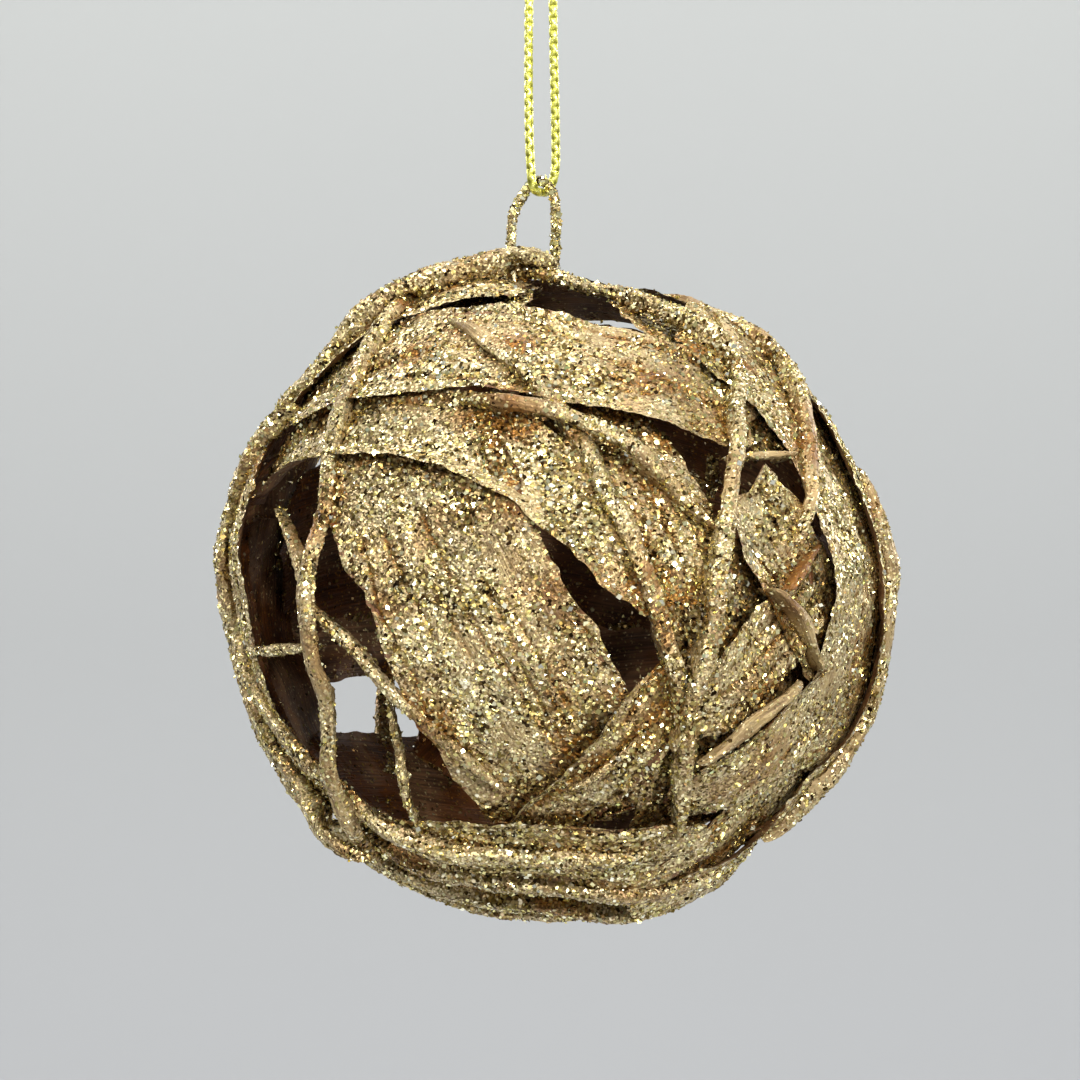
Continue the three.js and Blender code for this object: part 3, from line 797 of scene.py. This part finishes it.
def make_cord():
    """The hanging loop and the overhand knot that closes it."""
    path = smooth_path(CORD_ROUTE, 24)

    def loop_middle(line):
        return np.stack([np.full(len(line), 0.1), np.zeros(len(line)), np.maximum(line[:, 2], -24.5)], -1)

    line, loop = cord_piece("hanging_cord_braid", path, loop_middle)
    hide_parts("hanging_cord")

    turn = np.linspace(0.3 * math.pi, 0.3 * math.pi + KNOT_TURNS * 2 * math.pi, 60)
    share = (turn - turn[0]) / (turn[-1] - turn[0])
    wrap = np.stack(
        [
            KNOT_WRAP_RADIUS * np.cos(turn),
            KNOT_WRAP_RADIUS * np.sin(turn) * 0.92,
            0.95 + 2.25 * share + 0.28 * np.sin(turn),
        ],
        -1,
    )
    first, second = np.array(KNOT_ENDS)

    def axis(line):
        return np.stack([np.zeros(len(line)), np.full(len(line), 0.02), line[:, 2]], -1)

    def aside(line):
        return line + np.array([0, 1.0, 0.1])

    rng = np.random.default_rng(5)
    parts = []
    ends = [(smooth_path(end, 10), aside) for end in (first, second)]
    for piece_path, towards in [(wrap, axis)] + ends:
        stretch, reach = evenly(piece_path, 0.11)
        rings, lay = braided_tube(stretch, reach, towards(stretch), CORD_DIAMETER, 16)
        points, faces = closed_rings(rings), ring_faces(*rings.shape[:2])
        parts.append((points, faces, np.concatenate([lay.ravel(), [0.5, 0.5]])))
    for tip in (first[-1], second[-1]):
        parts.append(frayed_end(tip, rng))
    offsets = np.cumsum([0] + [len(p) for p, _, _ in parts[:-1]])
    knot = mesh_piece(
        "cord_knot_braid",
        np.concatenate([p for p, _, _ in parts]),
        np.concatenate([f + k for (_, f, _), k in zip(parts, offsets)]),
        [braided_lurex],
        smooth=True,
        values={"lay": np.concatenate([v for _, _, v in parts])},
        uv=np.concatenate([p for p, _, _ in parts])[:, :2] / 10,
    )
    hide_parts("cord_knot")


def frayed_end(tip, rng):
    """The brush of cut threads at a cord's end: each thread is a thin three-sided needle that leans out at
    random."""
    count = THREADS
    lean = rng.normal(0, 0.32, (count, 2))
    foot = tip + np.concatenate([rng.normal(0, 0.17, (count, 2)), np.full((count, 1), -0.35)], 1)
    head = tip + np.stack([lean[:, 0], lean[:, 1], rng.uniform(0.5, 1.15, count)], -1)
    corner = np.array([0, 2, 4]) * math.pi / 3
    ring = THREAD_RADIUS * np.stack([np.cos(corner), np.sin(corner), np.zeros(3)], -1)
    points = np.concatenate([foot[:, None] + ring, head[:, None]], 1).reshape(-1, 3)
    base = (np.arange(count) * 4)[:, None, None]
    pattern = np.array([[0, 2, 1], [0, 1, 3], [1, 2, 3], [2, 0, 3]])
    return points, (base + pattern).reshape(-1, 3), np.full(len(points), 0.8)


# The wire eye

WIRE_DIAMETER = 1.0
EYE_SPAN = 5.0
EYE_ASIDE = -2.5
EYE_RISE = 7.8
EYE_COLUMNS = 14
EYE_FLAKES = 900
# The arch from the left leg to the right: shares of the span and of the rise
ARCH = [
    (-0.5, 0),
    (-0.5, 0.32),
    (-0.38, 0.62),
    (-0.02, 0.96),
    (0.24, 1),
    (0.47, 0.83),
    (0.54, 0.55),
    (0.54, 0.27),
    (0.5, 0),
]


def leg_foot(x):
    """Where a leg stands: on the outermost strip under it."""
    upright = unit(np.array([[x, 0, EYE_TOP - EYE_RISE]]))
    height = height_under(courses, upright, 0.5 * WIRE_DIAMETER + LAY_GAP)[0] + LAY_GAP
    return (x, 0, max(height, FORMER_RADIUS) - 0.5)


def make_eye():
    """The wire eye: rings round the arch, made uneven by the grains that cover it. Returns random places on
    the wire and their outward directions, for flakes."""
    arch = [(EYE_ASIDE + aside * EYE_SPAN, 0, EYE_TOP - EYE_RISE * (1 - up)) for aside, up in ARCH]
    arch[0], arch[-1] = leg_foot(arch[0][0]), leg_foot(arch[-1][0])
    line, reach = evenly(smooth_path(arch, 30), 0.24)
    middle = np.array([EYE_ASIDE, 0, EYE_TOP - EYE_RISE])
    low = np.minimum(line[:, 2], middle[2] + 2)
    inside = np.stack([np.full(len(line), middle[0]), line[:, 1] + 0.001, low], -1)
    _, first, second = frame_along(line, inside)
    columns = EYE_COLUMNS
    turn = np.linspace(0, 2 * math.pi, columns, endpoint=False)[None, :]
    rng = np.random.default_rng(11)
    radius = 0.5 * WIRE_DIAMETER * (1 + 0.06 * smooth_noise(3, reach[:, None] / 1.4, turn))
    radius = radius + rng.normal(0, GRAIN_RELIEF, (len(line), columns))
    across = turned_between(turn, first[:, None], second[:, None])
    rings = line[:, None] + radius[..., None] * across
    count = rings.shape[0] * columns + 2
    piece = mesh_piece(
        "wire_eye_glittered",
        closed_rings(rings) + BALL_CENTRE,
        ring_faces(len(line), columns),
        [glittered_wire],
        values={"coat": np.ones(count), "shade": np.zeros(count)},
    )
    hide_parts("wire_eye")
    chosen = rng.integers(0, len(line), EYE_FLAKES)
    side = rng.uniform(0, 2 * math.pi, EYE_FLAKES)[:, None]
    facing = np.cos(side) * first[chosen] + np.sin(side) * second[chosen]
    return line[chosen] + 0.5 * WIRE_DIAMETER * facing, facing


# Finishes


def node(tree, kind, links=None, **settings):
    """A node with its settings, each input either linked from a socket or given a plain value."""
    made = tree.nodes.new(kind)
    for key, value in settings.items():
        setattr(made, key, value)
    for socket, source in (links or {}).items():
        if isinstance(source, bpy.types.NodeSocket):
            tree.links.new(source, made.inputs[socket])
        else:
            made.inputs[socket].default_value = source
    return made


def maths(tree, operation, *values, clamp=False):
    """An arithmetic node on one, two or three values."""
    made = node(tree, "ShaderNodeMath", dict(enumerate(values)), operation=operation, use_clamp=clamp)
    return made.outputs[0]


def blend(tree, share, a, b, kind="MIX"):
    mixed = node(tree, "ShaderNodeMix", {0: share, 6: a, 7: b}, data_type="RGBA", blend_type=kind)
    return mixed.outputs[2]


def ranged(tree, value, low, high, at_low=0.0, at_high=1.0):
    """A value that runs from one number to another while its source runs from low to high."""
    return node(tree, "ShaderNodeMapRange", {0: value, 1: low, 2: high, 3: at_low, 4: at_high}).outputs[0]


def chosen_number(tree, share, a, b):
    """The first number where the share is 0, the second where it is 1."""
    return node(tree, "ShaderNodeMix", {0: share, 2: a, 3: b}).outputs[0]


def chosen_normal(tree, share, a, b):
    """The first direction where the share is 0, the second where it is 1."""
    return node(tree, "ShaderNodeMix", {0: share, 4: a, 5: b}, data_type="VECTOR").outputs[1]


def ramp(tree, value, stops):
    """A colour ramp from (place, colour) pairs."""
    made = node(tree, "ShaderNodeValToRGB", {0: value})
    elements = made.color_ramp.elements
    elements[0].position, elements[0].color = stops[0][0], (*stops[0][1], 1)
    elements[1].position, elements[1].color = stops[-1][0], (*stops[-1][1], 1)
    for place, colour in stops[1:-1]:
        elements.new(place).color = (*colour, 1)
    return made.outputs[0]


def new_group(name, inputs, outputs):
    """A shader node group with named inputs and outputs, and its two end nodes."""
    group = bpy.data.node_groups.new(name, "ShaderNodeTree")
    for label, kind, value in inputs:
        socket = group.interface.new_socket(label, in_out="INPUT", socket_type=kind)
        if value is not None:
            socket.default_value = value
    for label, kind in outputs:
        group.interface.new_socket(label, in_out="OUTPUT", socket_type=kind)
    return group, group.nodes.new("NodeGroupInput"), group.nodes.new("NodeGroupOutput")


# Glitter colours by the brightness of a grain: of the larger grains, and of the fine powder between them
GRAIN_TONES = [
    (0.0, (0.03, 0.016, 0.006)),
    (0.14, (0.12, 0.07, 0.02)),
    (0.34, (0.32, 0.22, 0.07)),
    (0.6, (0.56, 0.44, 0.17)),
    (0.85, (0.85, 0.74, 0.4)),
    (1.0, (1.0, 0.95, 0.7)),
]
POWDER_TONES = [
    (0.0, (0.1, 0.07, 0.028)),
    (0.3, (0.3, 0.225, 0.1)),
    (0.7, (0.48, 0.385, 0.2)),
    (1.0, (0.78, 0.68, 0.42)),
]
POWDER_FINENESS = 1.75
# Brown multiplied in for painted shade in crevices and for random stains
SHADE_AND_STAIN_TINT = (0.5, 0.27, 0.065, 1)


def make_grain_group():
    """Glitter: a cell of a Voronoi pattern is one grain, with a brightness, a hue and a tilt of its own. A
    fine pale powder of grains lies wherever the coat is thick, and larger brighter grains lie on it in
    drifts. Where the coat is thin the bare bark shows. Crevices are painted brown as shade, and random
    stains get the same brown."""
    group, given, result = new_group(
        "glitter_grains",
        [
            ("Coat", "NodeSocketFloat", 1.0),
            ("Crevice", "NodeSocketFloat", 0.0),
            ("Grains per metre", "NodeSocketFloat", 2400.0),
            ("Tilt", "NodeSocketFloat", 0.5),
            ("Bare Color", "NodeSocketColor", (0.4, 0.3, 0.2, 1)),
            ("Bare Normal", "NodeSocketVector", None),
        ],
        [
            ("Color", "NodeSocketColor"),
            ("Roughness", "NodeSocketFloat"),
            ("Metallic", "NodeSocketFloat"),
            ("Normal", "NodeSocketVector"),
        ],
    )
    place = node(group, "ShaderNodeTexCoord").outputs["Object"]
    facing = node(group, "ShaderNodeNewGeometry").outputs["Normal"]
    scale = given.outputs["Grains per metre"]
    fine_scale = maths(group, "MULTIPLY", scale, POWDER_FINENESS)
    coarse = node(group, "ShaderNodeTexVoronoi", {"Vector": place, "Scale": scale})
    fine = node(group, "ShaderNodeTexVoronoi", {"Vector": place, "Scale": fine_scale})
    clouds = node(group, "ShaderNodeTexNoise", {"Vector": place, "Scale": 170.0, "Detail": 3.0}).outputs[0]
    drifts = node(group, "ShaderNodeTexNoise", {"Vector": place, "Scale": 210.0, "Detail": 2.0}).outputs[0]
    drift = ranged(group, drifts, 0.4, 0.66, 0.12, 0.85)
    crevice = given.outputs["Crevice"]
    gathered = maths(group, "MULTIPLY_ADD", crevice, 0.4, drift, clamp=True)
    open_coat = maths(group, "MULTIPLY_ADD", given.outputs["Coat"], 0.85, 0.12)

    def layer(cells, chance, stops, tilt):
        parts = node(group, "ShaderNodeSeparateColor", {0: cells.outputs["Color"]})
        there = maths(group, "LESS_THAN", parts.outputs[1], chance)
        tone = ramp(group, parts.outputs[0], stops)
        hue = maths(group, "MULTIPLY_ADD", parts.outputs[2], 0.04, 0.48)
        tinted = node(group, "ShaderNodeHueSaturation", {"Hue": hue, "Color": tone}).outputs[0]
        half = (0.5, 0.5, 0.5)
        away = node(group, "ShaderNodeVectorMath", {0: cells.outputs["Color"], 1: half}, operation="SUBTRACT")
        leaning = node(group, "ShaderNodeVectorMath", {0: away.outputs[0], "Scale": tilt}, operation="SCALE")
        turned = node(group, "ShaderNodeVectorMath", {0: facing, 1: leaning.outputs[0]}, operation="ADD")
        upright = node(group, "ShaderNodeVectorMath", {0: turned.outputs[0]}, operation="NORMALIZE")
        return there, tinted, upright.outputs[0], parts.outputs[2]

    tilt = given.outputs["Tilt"]
    top, top_color, top_normal, top_chance = layer(
        coarse, maths(group, "MULTIPLY", open_coat, gathered), GRAIN_TONES, tilt
    )
    low, low_color, low_normal, _ = layer(fine, open_coat, POWDER_TONES, maths(group, "MULTIPLY", tilt, 0.6))
    edge = ranged(group, coarse.outputs["Distance"], 0.35, 0.75, 1.0, 0.5)
    top_shaded = blend(group, 1.0, top_color, edge, "MULTIPLY")
    bare_or_low = blend(group, low, given.outputs["Bare Color"], low_color)
    colour = blend(group, top, bare_or_low, top_shaded)
    weather = ranged(group, clouds, 0.3, 0.7, 0.82, 1.12)
    colour = blend(group, 1.0, colour, weather, "MULTIPLY")
    # Painted shade: brown by the crevice value, with random stains in the same brown; less where a large
    # grain lies
    browned = blend(group, 1.0, colour, SHADE_AND_STAIN_TINT, "MULTIPLY")
    stains = node(group, "ShaderNodeTexNoise", {"Vector": place, "Scale": 95.0, "Detail": 3.0}).outputs[0]
    stain = ranged(group, stains, 0.52, 0.68, 0.0, 0.85)
    depth = maths(group, "MULTIPLY_ADD", crevice, 0.95, stain, clamp=True)
    depth = maths(group, "MULTIPLY", depth, maths(group, "MULTIPLY_ADD", top, -0.55, 1.0))
    colour = blend(group, depth, colour, browned)
    rough = maths(group, "MULTIPLY_ADD", top_chance, 0.2, 0.2)
    low_rough = chosen_number(group, low, 0.5, 0.42)
    low_metal = chosen_number(group, low, 0.15, 0.6)
    group.links.new(colour, result.inputs["Color"])
    group.links.new(chosen_number(group, top, low_rough, rough), result.inputs["Roughness"])
    group.links.new(chosen_number(group, top, low_metal, 0.9), result.inputs["Metallic"])
    low_or_bare = chosen_normal(group, low, given.outputs["Bare Normal"], low_normal)
    group.links.new(chosen_normal(group, top, low_or_bare, top_normal), result.inputs["Normal"])
    return group


def make_fibre_group():
    """Bark fibre: noise drawn out along the strip, over a slower drift of tone. Height follows the fine
    lines."""
    group, given, result = new_group(
        "bark_fibre",
        [
            ("Light", "NodeSocketColor", (0.5, 0.4, 0.25, 1)),
            ("Dark", "NodeSocketColor", (0.2, 0.12, 0.05, 1)),
        ],
        [("Color", "NodeSocketColor"), ("Height", "NodeSocketFloat")],
    )
    place = node(group, "ShaderNodeUVMap", uv_map="along_across").outputs[0]
    drawn = node(group, "ShaderNodeMapping", {"Vector": place, "Scale": (1.2, 34.0, 1.0)}).outputs[0]
    lines = node(group, "ShaderNodeTexNoise", {"Vector": drawn, "Scale": 1.0, "Detail": 4.0}).outputs[0]
    drift = node(group, "ShaderNodeTexNoise", {"Vector": place, "Scale": 2.2, "Detail": 2.0}).outputs[0]
    mixed = maths(group, "MULTIPLY_ADD", drift, 0.5, maths(group, "MULTIPLY", lines, 0.7))
    share = ranged(group, mixed, 0.47, 0.72)
    colour = blend(group, share, given.outputs["Dark"], given.outputs["Light"])
    group.links.new(colour, result.inputs["Color"])
    group.links.new(lines, result.inputs["Height"])
    return group


def value_of(tree, name):
    return node(tree, "ShaderNodeAttribute", attribute_name=name).outputs["Fac"]


def glittered(name, light, dark, grains, tilt, coat=None, specular=0.5):
    """A finish of fibre under glitter grains, from the piece's own crevice values, which give painted shade,
    and from its coat values or one coat for all of it."""
    material = bpy.data.materials.new(name)
    material.use_nodes = True
    tree = material.node_tree
    shader = tree.nodes["Principled BSDF"]
    fibre = node(tree, "ShaderNodeGroup", node_tree=fibre_group)
    fibre.inputs["Light"].default_value = (*light, 1)
    fibre.inputs["Dark"].default_value = (*dark, 1)
    relief = {"Height": fibre.outputs["Height"], "Strength": 0.8, "Distance": 0.0004}
    bump = node(tree, "ShaderNodeBump", relief)
    covered = value_of(tree, "coat") if coat is None else coat
    grain = tree.nodes.new("ShaderNodeGroup")
    grain.node_tree = grain_group
    for label, source in {
        "Coat": covered,
        "Crevice": value_of(tree, "shade"),
        "Grains per metre": grains,
        "Tilt": tilt,
        "Bare Color": fibre.outputs["Color"],
        "Bare Normal": bump.outputs[0],
    }.items():
        if isinstance(source, bpy.types.NodeSocket):
            tree.links.new(source, grain.inputs[label])
        else:
            grain.inputs[label].default_value = source
    tree.links.new(grain.outputs["Color"], shader.inputs["Base Color"])
    tree.links.new(grain.outputs["Roughness"], shader.inputs["Roughness"])
    tree.links.new(grain.outputs["Metallic"], shader.inputs["Metallic"])
    tree.links.new(grain.outputs["Normal"], shader.inputs["Normal"])
    shader.inputs["Specular IOR Level"].default_value = specular
    return material


def make_flake_finish():
    """Glitter flakes: mostly pale gold, some near white, some bronze, a few green or rose."""
    material = bpy.data.materials.new("glitter_flake")
    material.use_nodes = True
    tree = material.node_tree
    shader = tree.nodes["Principled BSDF"]
    look = value_of(tree, "look")
    colour = ramp(
        tree,
        look,
        [
            (0.0, (0.05, 0.03, 0.01)),
            (0.1, (0.28, 0.2, 0.06)),
            (0.28, (0.6, 0.52, 0.2)),
            (0.6, (0.85, 0.78, 0.36)),
            (0.84, (1.0, 0.95, 0.6)),
            (0.95, (1.0, 0.99, 0.85)),
            (0.97, (0.62, 0.75, 0.28)),
            (0.99, (0.85, 0.5, 0.2)),
        ],
    )
    tree.links.new(colour, shader.inputs["Base Color"])
    rough = ranged(tree, look, 0.0, 1.0, 0.28, 0.13)
    tree.links.new(rough, shader.inputs["Roughness"])
    shader.inputs["Metallic"].default_value = 0.95
    return material


def make_cord_finish():
    """Braided metallic thread with fine foil lines: the colour is painted light, a bright yellow gold
    highlight on top of the braid and olive shade in its valleys."""
    material = bpy.data.materials.new("braided_lurex")
    material.use_nodes = True
    tree = material.node_tree
    shader = tree.nodes["Principled BSDF"]
    place = node(tree, "ShaderNodeTexCoord").outputs["Object"]
    foil = node(tree, "ShaderNodeTexVoronoi", {"Vector": place, "Scale": 5200.0})
    spark = node(tree, "ShaderNodeSeparateColor", {0: foil.outputs["Color"]}).outputs[0]
    # Painted highlight and shade: brighter where the braid lies high, darker in its valleys, and brighter in
    # random foil cells
    height = maths(tree, "MULTIPLY_ADD", spark, 0.35, maths(tree, "MULTIPLY", value_of(tree, "lay"), 0.75))
    colour = ramp(
        tree,
        height,
        [
            (0.1, (0.13, 0.12, 0.015)),
            (0.45, (0.42, 0.41, 0.05)),
            (0.75, (0.72, 0.7, 0.11)),
            (1.0, (0.93, 0.92, 0.32)),
        ],
    )
    tree.links.new(colour, shader.inputs["Base Color"])
    rough = ranged(tree, spark, 0.0, 1.0, 0.45, 0.22)
    tree.links.new(rough, shader.inputs["Roughness"])
    bump = node(tree, "ShaderNodeBump", {"Height": spark, "Strength": 0.35, "Distance": 0.00006})
    tree.links.new(bump.outputs[0], shader.inputs["Normal"])
    shader.inputs["Metallic"].default_value = 0.8
    return material


grain_group = make_grain_group()
fibre_group = make_fibre_group()
glittered_bark = glittered("glittered_bark", (0.42, 0.32, 0.145), (0.16, 0.1, 0.035), 2500.0, 1.25)
glittered_vine = glittered("glittered_vine", (0.46, 0.34, 0.15), (0.17, 0.1, 0.035), 2600.0, 1.25)
glittered_wire = glittered("glittered_wire", (0.36, 0.26, 0.1), (0.18, 0.11, 0.04), 2900.0, 1.3)
# Inside the ball a few stray grains lie on bare brown bark
inner_bark = glittered(
    "inner_bark", (0.25, 0.13, 0.06), (0.07, 0.034, 0.015), 2600.0, 1.0, coat=-0.05, specular=0.3
)
glitter_flake = make_flake_finish()
braided_lurex = make_cord_finish()


# Camera, light and floor

PHOTO_DISTANCE = 500.0
PHOTO_HALF_FRAME = math.tan(math.radians(14.57 / 2))


def make_camera():
    """The camera stands level in front of the ball, a little left of and above its centre."""
    lens = bpy.data.cameras.new("camera")
    lens.sensor_width = 36.0
    lens.lens = 18.0 / PHOTO_HALF_FRAME
    lens.clip_start, lens.clip_end = 0.01, 20.0
    camera = bpy.data.objects.new("camera", lens)
    camera.location = (-0.16 * MM, -PHOTO_DISTANCE * MM, -68.46 * MM)
    camera.rotation_euler = (math.pi / 2, 0, 0)
    bpy.context.scene.collection.objects.link(camera)
    bpy.context.scene.camera = camera


def area_light(name, place, target, size, power, colour):
    light = bpy.data.lights.new(name, "AREA")
    light.shape = "DISK"
    light.size = size
    light.energy = power
    light.color = colour
    lamp = bpy.data.objects.new(name, light)
    bpy.context.scene.collection.objects.link(lamp)
    lamp.location = place
    aim = np.array(target) - np.array(place)
    lamp.rotation_euler = (
        math.atan2(math.hypot(aim[0], aim[1]), -aim[2]),
        0,
        math.atan2(aim[1], aim[0]) - math.pi / 2,
    )


def make_studio():
    """A pale floor that turns up into a wall behind, lit by soft lamps. The sweep is a row of
    cross-sections: flat, a quarter circle, then upright."""
    floor_z, wall_y, radius, reach = -0.62, 1.9, 0.5, 3.0
    turn = np.linspace(0, math.pi / 2, 24)
    y = np.concatenate([[-reach], wall_y - radius + radius * np.sin(turn), [wall_y]])
    z = np.concatenate([[floor_z], floor_z + radius - radius * np.cos(turn), [floor_z + 3.2]])
    x = np.repeat([-reach, reach], len(y))
    points = np.stack([x, np.tile(y, 2), np.tile(z, 2)], -1)
    row = np.arange(len(y) - 1)
    faces = np.stack([row, row + len(y), row + len(y) + 1, row + 1], -1)
    mesh = bpy.data.meshes.new("pale_sweep")
    mesh.from_pydata(points.tolist(), [], faces.tolist())
    mesh.polygons.foreach_set("use_smooth", np.full(len(faces), True))
    sweep = bpy.data.objects.new("pale_sweep", mesh)
    bpy.context.scene.collection.objects.link(sweep)
    paper = bpy.data.materials.new("pale_paper")
    paper.use_nodes = True
    tree = paper.node_tree
    shader = tree.nodes["Principled BSDF"]
    shader.inputs["Roughness"].default_value = 0.9
    # Painted shade: the paper is darker and cooler towards the bottom, lighter and warmer towards the top
    height = node(
        tree, "ShaderNodeSeparateXYZ", {0: node(tree, "ShaderNodeTexCoord").outputs["Object"]}
    ).outputs[2]
    share = ranged(tree, height, -0.4, 0.25)
    tone = ramp(tree, share, [(0.0, (0.44, 0.45, 0.462)), (1.0, (0.545, 0.56, 0.55))])
    tree.links.new(tone, shader.inputs["Base Color"])
    mesh.materials.append(paper)

    world = bpy.data.worlds.new("studio")
    bpy.context.scene.world = world
    world.use_nodes = True
    world.node_tree.nodes["Background"].inputs[0].default_value = (0.9, 0.92, 0.95, 1)
    world.node_tree.nodes["Background"].inputs[1].default_value = 0.35
    bpy.context.scene.view_settings.view_transform = "Standard"
    centre = tuple(BALL_CENTRE * MM)
    area_light("key_lamp", (-0.5, -1.0, 0.8), centre, 0.4, 16.5, (1.0, 0.97, 0.92))
    area_light("fill_lamp", (0.95, -0.9, 0.45), centre, 0.5, 9, (0.97, 0.98, 1.0))
    area_light("top_lamp", (0.1, 0.1, 1.1), centre, 0.5, 8, (1.0, 0.98, 0.95))
    area_light("small_lamp", (0.25, -1.3, 0.5), centre, 0.08, 9, (1.0, 0.98, 0.95))
    area_light("right_lamp", (0.85, -0.95, 0.3), centre, 0.08, 6.5, (1.0, 0.98, 0.94))
    area_light("right_rim_lamp", (0.8, 0.55, 0.25), centre, 0.15, 6, (1.0, 0.98, 0.94))
    area_light("left_rim_lamp", (-0.8, 0.55, 0.25), centre, 0.15, 5, (1.0, 0.98, 0.94))
    area_light("wall_lamp", (0.0, 0.9, 1.6), (0.0, 1.9, -0.1), 1.6, 22, (1.0, 1.0, 1.0))


make_camera()
make_cord()

# The strips and strands. These leaves are plainer, as those at the back are
PLAIN_LEAVES = ("left_back_leaf", "right_back_leaf", "crown_leaf", "bottom_leaf")
bark_grids, strand_grids = [], []
for course in courses:
    behind = course.name.startswith("back") or course.name in PLAIN_LEAVES
    if course.kind["wide"]:
        outer, coat, shade = bark_strip(course, BACK_CELL if behind else BARK_CELL)
        bark_grids.append((outer, coat, shade))
    else:
        points, coat, shade = vine_strand(course, STRAND_CELL)
        strand_grids.append((points, coat, shade))

# The loose glitter flakes
rng = np.random.default_rng(2)
for label, grids, slot_name, density in (
    ("bark", bark_grids, "glittered_bark", FLAKES_PER_MM2),
    ("vine", strand_grids, "glittered_vine", MORE_ON_STRANDS * FLAKES_PER_MM2),
):
    places, normals = flake_places(grids, density, rng, rings=label == "vine")
    for k in range(0, len(places), FLAKES_A_PIECE):
        part = slice(k, k + FLAKES_A_PIECE)
        name = "glitter_on_" + label + "_" + str(k // FLAKES_A_PIECE + 1)
        flakes(name, places[part], normals[part], rng)
places, normals = make_eye()
flakes("glitter_on_wire", places, normals, rng)

make_studio()
